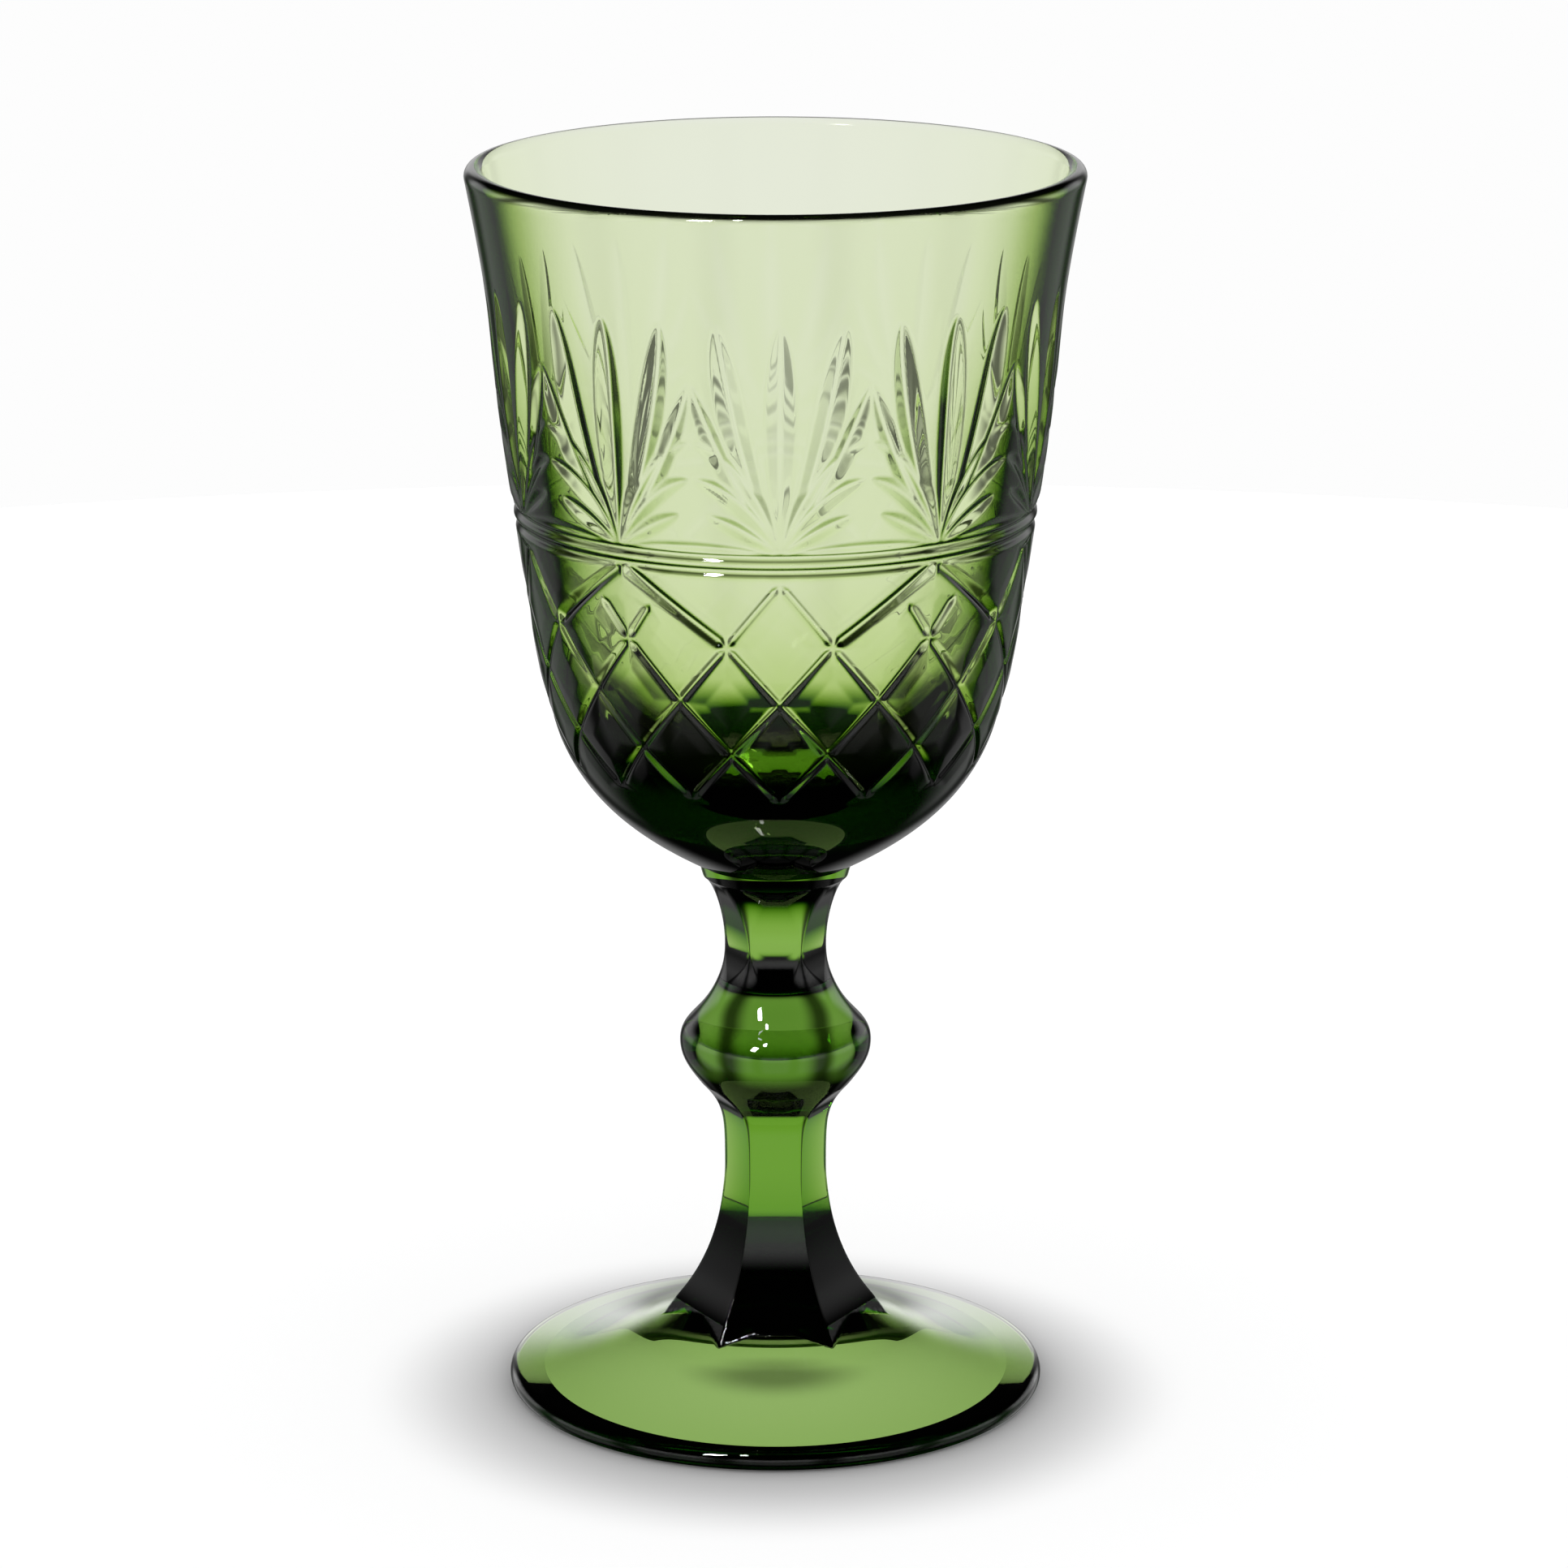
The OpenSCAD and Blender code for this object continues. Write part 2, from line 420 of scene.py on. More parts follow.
@dataclass(frozen=True)
class Glass:
    """Clear coloured glass, which takes its colour from the way that light goes in it; a shade paints
    darkness into that colour.

    Attributes:
        name: Name of the material.
        tint: Share of red, green and blue that the glass lets pass best.
        strength: How strongly it takes the rest, per metre.
        shade: Painted shade that darkens its colour, or None.
        veil: How far it mirrors the room more than plain glass does where it is seen most aslant.
        veil_slant: Slants at which that begins and is full.
        veil_roughness: How blurred it mirrors the room there.
        bend: Index of refraction.
        far_bend: The same on the far wall of a hollow piece, whose pattern then shows more softly.
    """

    name: str
    tint: tuple[float, float, float]
    strength: float
    shade: PaintedShade | None = None
    veil: float = 0.0
    veil_slant: tuple[float, float] = (0.58, 0.86)
    veil_roughness: float = 0.1
    bend: float = 1.5
    far_bend: float | None = None

    def material(self) -> Material:
        """Returns the material: a polished skin, whose colour carries any painted shade, round a tinted
        volume.
        """
        material = bpy.data.materials.new(self.name)
        kit = NodeKit(material)
        skin = kit.tree.nodes["Principled BSDF"]
        kit.feed(skin.inputs["Base Color"], (1, 1, 1, 1))
        kit.feed(skin.inputs["Roughness"], 0.0)
        kit.feed(skin.inputs["Transmission Weight"], 1.0)
        # Painted shade: the colour darkens where the glass is seen aslant, at given heights or where it
        # leans.
        if self.shade:
            kit.feed(skin.inputs["Base Color"], self.shade.colour(kit))
        bend = self.bend
        if self.far_bend:
            bend = kit.ramp(kit.far_side(), (0, 1), self.bend, self.far_bend)
        fused = kit.add("Attribute")
        fused.attribute_name = RingBody.FUSED
        kit.feed(skin.inputs["IOR"], kit.ramp(fused.outputs["Fac"], (0, 1), bend, 1.0))
        volume = kit.add("VolumeAbsorption", (*self.tint, 1), self.strength)
        kit.feed(kit.tree.nodes["Material Output"].inputs["Volume"], volume.outputs["Volume"])
        if self.veil:
            slant = kit.add("LayerWeight").outputs["Facing"]
            mirror = kit.add("BsdfGlossy", (1, 1, 1, 1), self.veil_roughness)
            kit.cover(skin, mirror, kit.ramp(slant, self.veil_slant, 0.0, self.veil))
        return material


@dataclass(frozen=True)
class Paper:
    """The matt white surface that the goblet stands on, with a painted soft shadow round the foot and,
    where asked, a painted glow seen through the glass.

    Attributes:
        name: Name of the material.
        white: Share of the light that it gives back.
        glow: Brightness of a painted glow, an emission that shows only through glass, or None where it
            shows as it is lit.
        glow_tint: Colour of that painted glow, as of light that has come down through the glass.
        shadow: Share of the colour that the deepest of the painted soft shadow round the foot takes away.
        shadow_radii: Distances in mm at which that shadow is deepest, and at which it has gone.
        shadow_shift: How far in front of the axis the painted shadow's middle lies, as if the light leaned
            forward.
        glow_least: Share of the painted glow that is left at the axis, as painted shade under the stem.
        glow_radii: Distances from the axis in mm where that begins to grow, and where it is full.
    """

    name: str = "white_paper"
    white: float = 0.98
    shadow: float = 0.46
    shadow_radii: tuple[float, float] = (36.0, 60.0)
    shadow_shift: float = 4.0
    glow: float | None = None
    glow_tint: tuple[float, float, float] = (0.6, 0.78, 0.4)
    glow_least: float = 0.45
    glow_radii: tuple[float, float] = (3.0, 15.0)

    def material(self) -> Material:
        """Returns the matt material."""
        material = bpy.data.materials.new(self.name)
        kit = NodeKit(material)
        skin = kit.tree.nodes["Principled BSDF"]
        place = kit.add("TexCoord").outputs["Object"]
        # Painted shadow: the base colour darkens towards the foot.
        middle = (0, -self.shadow_shift * MM, 0)
        apart = kit.add("VectorMath", place, middle, operation="DISTANCE").outputs["Value"]
        edges = [radius * MM for radius in self.shadow_radii]
        painted_shadow = kit.ramp(apart, edges, self.white * (1 - self.shadow), self.white)
        kit.feed(skin.inputs["Base Color"], painted_shadow)
        kit.feed(skin.inputs["Roughness"], 1.0)
        kit.feed(skin.inputs["Specular IOR Level"], 0.0)
        # Painted glow: an emission, seen only through glass, that dims towards the axis under the stem.
        if self.glow is not None:
            reach = kit.add("VectorMath", place, operation="LENGTH").outputs["Value"]
            edges = [radius * MM for radius in self.glow_radii]
            bright = kit.ramp(reach, edges, self.glow * self.glow_least, self.glow)
            painted_glow = kit.add("Emission", (*self.glow_tint, 1), bright)
            kit.cover(skin, painted_glow, kit.add("LightPath").outputs["Is Transmission Ray"])
        return material


# The pressed pattern
# -------------------


@dataclass(frozen=True)
class Blade:
    """One pointed V-shaped cut of a fan.

    Attributes:
        bow: Azimuth from the fan's middle, and height, of the point that the blade bows towards.
        tip: The same for its tip.
        width: Its greatest width.
        depth: Its depth there.
        belly: Where along it that width lies, from 0 at the fan's foot to 1 at the tip.
    """

    bow: tuple[float, float]
    tip: tuple[float, float]
    width: float
    depth: float
    belly: float = 0.55


@dataclass
class CutPattern:
    """Fans above a belt of two grooves, and diamonds below it, pressed into the bowl's outside.

    Attributes:
        fans: How many fans there are. The diamonds repeat once for two of them.
        fan_foot: Height of the point from which a fan's blades spread.
        blades: One half of a fan, which the other half mirrors.
        belts: Heights of the belt's grooves.
        belt_depth: Their depth, and half their width.
        diamond_levels: Heights at which the lines of the diamonds cross.
        diamond_step: Azimuth between two crossings of one height.
        diamond_paths: The lines, each through crossings given by column and level.
        arm_start: Column and height at which the broad lines start, down to the second level.
        stub_start: The same for the short ones between them.
        pillow_width: Width of the shallow dip round each line, which rounds the diamonds' faces.
        softness: How far all edges are rounded.
    """

    outline: Outline
    fans: int = 10
    fan_foot: float = 128.6
    turn: float = 1.0
    blades: tuple[Blade, ...] = (
        Blade((0, 145), (0, 160), 4.4, 0.95, 0.6),
        Blade((9, 139), (12.5, 160), 4.2, 0.95, 0.6),
        Blade((12, 139), (18, 152), 3.2, 0.8),
        Blade((7, 141.5), (17.5, 144), 3.2, 0.85),
        Blade((7, 137), (17.5, 138.9), 3.2, 0.85),
        Blade((6, 131.5), (15, 134), 2.6, 0.7),
        Blade((18, 130.3), (36, 128.6), 1.8, 0.5, 0.5),
    )
    belts: tuple[float, float] = (128.2, 126.2)
    belt_depth: float = 0.8
    diamond_levels: tuple[float, ...] = (124.5, 115.5, 107.3, 99.8, 92.8)
    diamond_step: float = 12.0
    diamond_paths: tuple[tuple[tuple[int, int], ...], ...] = (
        ((0, 0), (1, 1)),
        ((1, 1), (2, 2), (3, 3), (4, 4)),
        ((1, 1), (0, 2), (-1, 3), (-2, 4)),
        ((3, 1), (2, 2), (1, 3), (0, 4)),
    )
    arm_start: tuple[float, float] = (3.0, 126.0)
    stub_start: tuple[float, float] = (2.45, 121.0)
    diamond_width: float = 1.7
    diamond_depth: float = 0.7
    arm_width: float = 2.6
    arm_depth: float = 0.9
    pillow_width: float = 5.6
    pillow_depth: float = 0.22
    softness: float = 0.16

    BLADE_STEPS = 12
    BLADE_CURVE = 1.5  # How soon a blade narrows on both sides of its belly
    TAPER = 1.5  # Length over which a groove narrows at its ends
    BLUNT = 0.15  # Share of its width that is left there
    MM_PER_DEGREE = 0.63  # Round the bowl, at about its belt
    HAIR = 1e-6  # The least half width
    REACH = 3.0  # How many times its spread the softening goes out

    def depth(self, azimuths: np.ndarray, ways: np.ndarray) -> np.ndarray:
        """Works out how deep the pattern goes into the wall.

        Args:
            azimuths: Azimuths of the grid's columns.
            ways: Distances of its rows down the outline.

        Returns:
            Depths in mm, one row for each way.
        """
        level = self.outline.at(ways)
        scale = (level[:, 0] * math.pi / 180)[:, None]
        period = 2 * 360 / self.fans
        columns = int(round(len(azimuths) * period / 360))
        across = (azimuths[:columns] - self.turn)[None, :]
        across = (across + period / 2) % period - period / 2
        down = np.repeat(ways[:, None], columns, axis=1)
        cut = np.zeros((len(ways), columns))
        for line, width, depth, belly in self._lines(period):
            np.maximum(cut, self._cut_along(line, width, depth, belly, across, down, scale), out=cut)
        for belt in self.belts:
            np.maximum(cut, self.belt_depth - np.abs(level[:, 1] - belt)[:, None], out=cut)
        cut = self._softened(cut, self.softness / float(np.median(scale)) / (period / columns), 1)
        cut = self._softened(cut, self.softness / float(np.median(np.diff(ways))), 0)
        return np.tile(cut, (1, int(round(360 / period))))

    def _softened(self, cut: np.ndarray, spread: float, axis: int) -> np.ndarray:
        """Returns the depths with their edges rounded along one axis, round the seam of the tile."""
        reach = int(math.ceil(self.REACH * spread))
        steps = np.arange(-reach, reach + 1)
        weights = np.exp(-0.5 * (steps / spread) ** 2)
        weights /= weights.sum()
        return sum(w * np.roll(cut, int(k), axis=axis) for k, w in zip(steps, weights))

    def _lines(self, period: float) -> Iterable[tuple[np.ndarray, float, float, float]]:
        """Yields each cut's centre line, as azimuth and way, with its width, depth and belly."""
        pitch = 360 / self.fans
        for middle in np.arange(-2, 3) * pitch:
            for blade in self.blades:
                for side in (-1, 1) if blade.tip[0] else (1,):
                    line = self._bowed(blade)
                    line[:, 0] = middle + side * line[:, 0]
                    yield self._laid(line), blade.width, blade.depth, blade.belly
        for line, arm in self._diamond_lines(period):
            width = self.arm_width if arm else self.diamond_width
            depth = self.arm_depth if arm else self.diamond_depth
            yield self._laid(line), width, depth, 0.0
            yield self._laid(line), self.pillow_width, self.pillow_depth, 0.0

    def _diamond_lines(self, period: float) -> Iterable[tuple[np.ndarray, bool]]:
        """Yields the lines of the diamonds, and whether each is one of the long arms."""
        levels = self.diamond_levels
        for middle in (-period, 0.0, period):
            for side in (-1, 1):

                def place(column: float, height: float) -> tuple[float, float]:
                    """Returns the azimuth and height of a place on this side of this middle."""
                    return middle + side * column * self.diamond_step, height

                for path in self.diamond_paths:
                    yield np.array([place(column, levels[row]) for column, row in path]), False
                yield np.array([place(*self.arm_start), place(1, levels[1])]), True
                yield np.array([place(*self.stub_start), place(3, levels[1])]), False

    def _bowed(self, blade: Blade) -> np.ndarray:
        """Returns points along the curve of a blade, from the fan's foot by way of its bow."""
        t = np.linspace(0, 1, self.BLADE_STEPS + 1)[:, None]
        foot, bow, tip = (np.array(place, float) for place in ((0, self.fan_foot), blade.bow, blade.tip))
        return (1 - t) ** 2 * foot + 2 * t * (1 - t) * bow + t * t * tip

    def _laid(self, line: np.ndarray) -> np.ndarray:
        """Returns the line with its heights turned to distances down the outline."""
        return np.column_stack([line[:, 0], self.outline.way_at_height(line[:, 1])])

    def _cut_along(
        self,
        line: np.ndarray,
        width: float,
        depth: float,
        belly: float,
        across: np.ndarray,
        down: np.ndarray,
        scale: np.ndarray,
    ) -> np.ndarray:
        """Works out the depth of one cut over the grid.

        Args:
            line: The cut's centre line, as azimuth and way.
            width: Its greatest width.
            depth: Its greatest depth.
            belly: Where along it that width lies, or 0 for an even groove with short tips.
            across: Azimuths of the grid.
            down: Ways of the grid.
            scale: Millimetres for each degree, for each row.

        Returns:
            The depth at each place of the grid.
        """
        step = np.hypot(np.diff(line[:, 0]) * self.MM_PER_DEGREE, np.diff(line[:, 1]))
        run = np.concatenate([[0.0], np.cumsum(step)])
        best = np.full(down.shape, np.inf)
        where = np.zeros(down.shape)
        for k in range(len(line) - 1):
            ax, ay = line[k, 0] * scale, line[k, 1]
            dx, dy = (line[k + 1, 0] - line[k, 0]) * scale, line[k + 1, 1] - line[k, 1]
            px, py = across * scale - ax, down - ay
            t = np.clip((px * dx + py * dy) / (dx * dx + dy * dy), 0, 1)
            off = np.hypot(px - t * dx, py - t * dy)
            near = off < best
            best = np.where(near, off, best)
            where = np.where(near, (run[k] + t * step[k]) / run[-1], where)
        if belly:
            rise, fall = belly * self.BLADE_CURVE, (1 - belly) * self.BLADE_CURVE
            half = (where / belly) ** rise * ((1 - where) / (1 - belly)) ** fall
        else:
            taper = self.TAPER / run[-1]
            half = np.clip(np.minimum(where, 1 - where) / taper + self.BLUNT, 0, 1)
        half = np.maximum(half * width / 2, self.HAIR)
        inside = np.clip(1 - best / half, 0, None)
        return depth * half * 2 / width * inside


# The goblet's pieces
# -------------------


@dataclass(frozen=True)
class Levels:
    """Heights at which the pieces meet, one above the other."""

    foot_top: float = 12.0
    knop_bottom: float = 44.8
    knop_top: float = 60.1
    collar_bottom: float = 75.0
    bowl_bottom: float = 76.8
    bowl_top: float = 175.0


@dataclass
class Piece:
    """What all the goblet's pieces share.

    Attributes:
        levels: Heights at which the pieces meet.
        seam: Half the hair's breadth left between two pieces that are fused in the real glass.
    """

    levels: Levels
    seam: float = 0.01

    def dress(self, piece: Object, node: str, slot: Slot, material: Material) -> Object:
        """Gives a piece its material and its place on the frame, and hides the node that it stands for."""
        piece.data.materials.append(material)
        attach(piece, "root")
        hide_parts(node)
        LOG.info("%s: %d faces", piece.name, len(piece.data.polygons))
        return piece


@dataclass
class Bowl(Piece):
    """The hollow bowl with its rounded lip and the pattern pressed into its outside."""

    rim_d: float = 84.6
    rim_wall: float = 2.8
    rim_flare: float = 11.0
    belt_d: float = 72.4
    belt_height: float = 128.2
    belt_lean: float = 8.5
    belt_wall: float = 3.6
    collar_d: float = 21.4
    base_spread: float = 62.0
    floor: float = 13.0
    columns: int = 1200
    inner_columns: int = 240
    inner_rows: int = 120
    lip_steps: int = 16
    fine_step: float = 0.28
    coarse_step: float = 0.9
    pattern_top: float = 163.5
    pattern_bottom: float = 90.0

    def outlines(self) -> tuple[Outline, Outline, np.ndarray]:
        """Returns the outline of the outside, that of the inside, and the lip's arc between them."""
        lip_r = self.rim_wall / 2
        centre = np.array([self.rim_d / 2 - lip_r, self.levels.bowl_top - lip_r])
        lean = math.radians(self.rim_flare)
        side = np.array([math.cos(lean), -math.sin(lean)]) * lip_r
        out, into = centre + side, centre - side
        belt_r = self.belt_d / 2
        outer = Outline([
            Station(out[0], out[1], self.rim_flare, pull_down=25),
            Station(belt_r, self.belt_height, self.belt_lean, pull_up=28, pull_down=30),
            Station(self.collar_d / 2, self.levels.bowl_bottom, self.base_spread, pull_up=25),
        ])
        inner = Outline([
            Station(into[0], into[1], self.rim_flare, pull_down=25),
            Station(belt_r - self.belt_wall, self.belt_height, self.belt_lean, pull_up=28, pull_down=28),
            Station(0, self.levels.bowl_bottom + self.floor, lean=90, pull_up=20),
        ])
        turns = np.linspace(-lean, math.pi - lean, self.lip_steps + 1)[1:-1]
        arc = centre + lip_r * np.column_stack([np.cos(turns), np.sin(turns)])
        return outer, inner, arc

    def ways(self, outer: Outline) -> np.ndarray:
        """Returns where the outside's rings lie, close together only where the pattern is."""
        top, bottom = outer.way_at_height(self.pattern_top), outer.way_at_height(self.pattern_bottom)

        def spread(a: float, b: float, step: float) -> np.ndarray:
            """Returns even places from a to b, about a step apart."""
            return np.linspace(a, b, int(math.ceil((b - a) / step)) + 1)

        above = spread(0.0, top, self.coarse_step)
        fine = spread(top, bottom, self.fine_step)
        below = spread(bottom, outer.length, self.coarse_step)
        return np.concatenate([above, fine[1:], below[1:]])

    def build(self, material: Material) -> Object:
        """Builds the bowl and returns it."""
        outer, inner, arc = self.outlines()
        ways = self.ways(outer)
        azimuths = np.arange(self.columns) * 360 / self.columns
        depth = CutPattern(outer).depth(azimuths, ways)
        level, outward = outer.at(ways), outer.outward(ways)
        level[-1, 1] += self.seam
        radii = level[:, :1] - depth * outward[:, :1]
        heights = level[:, 1:] - depth * outward[:, 1:]
        body = RingBody("bowl_glass_body", level[-1, 1], inner.points[-1, 1])
        last = len(ways) - 1
        body.add(Ring.turned(radii[k], heights[k], crease=k == last) for k in range(last, -1, -1))
        body.turn(arc, self.columns)
        body.turn(inner.at(np.linspace(0, inner.length, self.inner_rows + 1)[:-1]), self.inner_columns)
        return self.dress(body.build((True, False)), "bowl", Slot.BOWL, material)


@dataclass
class StemCollar(Piece):
    """The fused collar between the bowl and the stem."""

    foot_d: float = 20.4
    top_d: float = 21.4
    columns: int = 240

    def build(self, material: Material) -> Object:
        """Builds the collar and returns it."""
        low, high = self.levels.collar_bottom + self.seam, self.levels.bowl_bottom - self.seam
        body = RingBody("stem_collar_glass", low, high)
        body.turn([(self.foot_d / 2, low), (self.top_d / 2, high)], self.columns, creases=(0, 1))
        return self.dress(body.build((True, True)), "stem_collar", Slot.STEM, material)


@dataclass
class Facets:
    """The flats round the stem, which run out into round ends where a station says so.

    Attributes:
        count: How many flats there are.
        corner_points: Points round each softened corner.
        flat_shares: Where the points of a flat lie, from -1 at its one end to 1 at the other.
        softness: Radius of the corners.
        least_softness: What it comes down to at the least, close to a round end.
        run_in: By how many degrees more than the corners the flats lean at a round end.
    """

    count: int = 6
    corner_points: int = 9
    flat_shares: tuple[float, ...] = (-1, -0.92, -0.5, 0, 0.5, 0.92, 1)
    softness: float = 0.5
    least_softness: float = 0.05
    run_in: float = 12.0

    @property
    def half(self) -> float:
        """Half the angle that a flat takes up, in radians."""
        return math.pi / self.count

    def flat_of(self, corner: float) -> float:
        """Returns the distance from the axis to a flat, for the radius of its softened corners."""
        c = math.cos(self.half)
        return corner * c + self.softness * (1 - c)

    def from_round(self, end: Station) -> Station:
        """Returns where the flats start from a round end: there, but running in more steeply."""
        return replace(end, lean=end.lean + math.copysign(self.run_in, end.lean))

    def _corner(self, corner: float, flat: float) -> tuple[float, float]:
        """Returns the radius of a section's corners, and how far from the axis their middles lie."""
        c = math.cos(self.half)
        soft = min(max((flat - c * corner) / (1 - c), self.least_softness), flat)
        return soft, (flat - soft) / c

    def radius(self, turns: np.ndarray, corner: float, flat: float) -> np.ndarray:
        """Returns the section's radius in the given directions, in radians from the front."""
        soft, centre = self._corner(corner, flat)
        from_flat = (turns + self.half) % (2 * self.half) - self.half
        from_corner = self.half - np.abs(from_flat)
        beside = centre * np.sin(from_corner)
        rounded = centre * np.cos(from_corner) + np.sqrt(np.maximum(soft * soft - beside * beside, 0))
        on_flat = np.abs(flat * np.tan(from_flat)) <= (flat - soft) * math.tan(self.half)
        return np.where(on_flat, flat / np.cos(from_flat), rounded)

    def section(self, corner: float, flat: float) -> np.ndarray:
        """Returns one section as rows of x and y, from the middle of the front flat to +X.

        Args:
            corner: Radius at the softened corners.
            flat: Distance from the axis to the flats.
        """
        soft, centre = self._corner(corner, flat)
        shares = np.array(self.flat_shares)[:, None] * (flat - soft) * math.tan(self.half)
        pieces = []
        for k in range(self.count):
            face = 2 * self.half * k
            along = np.array([math.cos(face), math.sin(face)])
            out = np.array([math.sin(face), -math.cos(face)])
            pieces.append(out * flat + along * shares)
            turns = face + np.linspace(0, 2 * self.half, self.corner_points + 2)[1:-1]
            hub = centre * np.array([math.sin(face + self.half), -math.cos(face + self.half)])
            pieces.append(hub + soft * np.column_stack([np.sin(turns), -np.cos(turns)]))
        return np.vstack(pieces)


@dataclass
class StemLength(Piece):
    """A faceted length of the stem, with a waist between two wider ends."""

    facets: Facets = field(default_factory=Facets)
    rows: int = 90

    def build_between(
        self, node: str, corners: Sequence[Station], flats: Sequence[Station], material: Material
    ) -> Object:
        """Builds the length.

        Args:
            node: The node that it stands for.
            corners: Places that the softened corners pass, from the top down.
            flats: The same for the middles of the flats.
            material: Its glass.

        Returns:
            The piece.
        """
        corner_line, flat_line = Outline(corners), Outline(flats)
        heights = np.linspace(corners[-1].height + self.seam, corners[0].height - self.seam, self.rows + 1)
        body = RingBody(f"{node}_glass", heights[0], heights[-1])
        for k, height in enumerate(heights):
            corner, flat = (float(line.radius_at(height)) for line in (corner_line, flat_line))
            section = self.facets.section(corner, flat)
            body.add([Ring(section, np.full(len(section), height), crease=k in (0, self.rows))])
        return self.dress(body.build((True, True)), node, Slot.STEM, material)


@dataclass
class UpperStem(StemLength):
    """The faceted length between the knop and the collar."""

    collar_d: float = 20.4
    waist_d: float = 14.2
    waist_height: float = 64.7
    knop_end_d: float = 15.8

    def build(self, material: Material) -> Object:
        """Builds the length and returns it."""
        top = Station(self.collar_d / 2, self.levels.collar_bottom, lean=52, pull_down=2)
        waist = Station(self.waist_d / 2, self.waist_height, lean=0, pull_up=4.3, pull_down=2)
        bottom = Station(self.knop_end_d / 2, self.levels.knop_top, lean=-20.5, pull_up=1.2)
        flat_waist = waist.at_radius(self.facets.flat_of(waist.radius))
        flats = [self.facets.from_round(top), flat_waist, self.facets.from_round(bottom)]
        return self.build_between("upper_stem", [top, waist, bottom], flats, material)


@dataclass
class Knop(Piece):
    """The round swelling in the middle of the stem."""

    width: float = 26.9
    widest: float = 50.7
    top_d: float = 15.8
    foot_d: float = 21.2
    columns: int = 240
    rows: int = 80

    def build(self, material: Material) -> Object:
        """Builds the knop and returns it."""
        low, high = self.levels.knop_bottom, self.levels.knop_top
        outline = Outline([
            Station(self.top_d / 2, high, lean=-20.5, pull_down=6.4),
            Station(self.width / 2, self.widest, lean=0, pull_up=3.4, pull_down=2.2),
            Station(self.foot_d / 2, low, lean=38, pull_up=2.8),
        ])
        points = outline.at(np.linspace(outline.length, 0, self.rows + 1))
        points[0, 1] += self.seam
        points[-1, 1] -= self.seam
        body = RingBody("knop_glass", points[0, 1], points[-1, 1])
        body.turn(points, self.columns, creases=(0, self.rows))
        return self.dress(body.build((True, True)), "knop", Slot.STEM, material)


@dataclass
class LowerStem(StemLength):
    """The faceted length between the foot and the knop, which flares out below."""

    rows: int = 140
    knop_end_d: float = 21.2
    waist_d: float = 14.3
    waist_height: float = 32.3
    flare_d: float = 28.5

    def build(self, material: Material) -> Object:
        """Builds the length and returns it."""
        top = Station(self.knop_end_d / 2, self.levels.knop_bottom, lean=38, pull_down=5.2)
        waist = Station(self.waist_d / 2, self.waist_height, lean=0, pull_up=8, pull_down=5.7)
        bottom = Station(self.flare_d / 2, self.levels.foot_top, lean=-38, pull_up=8.1)
        flat_waist, flat_flare = (end.at_radius(self.facets.flat_of(end.radius)) for end in (waist, bottom))
        flats = [self.facets.from_round(top), flat_waist, flat_flare]
        return self.build_between("lower_stem", [top, waist, bottom], flats, material)


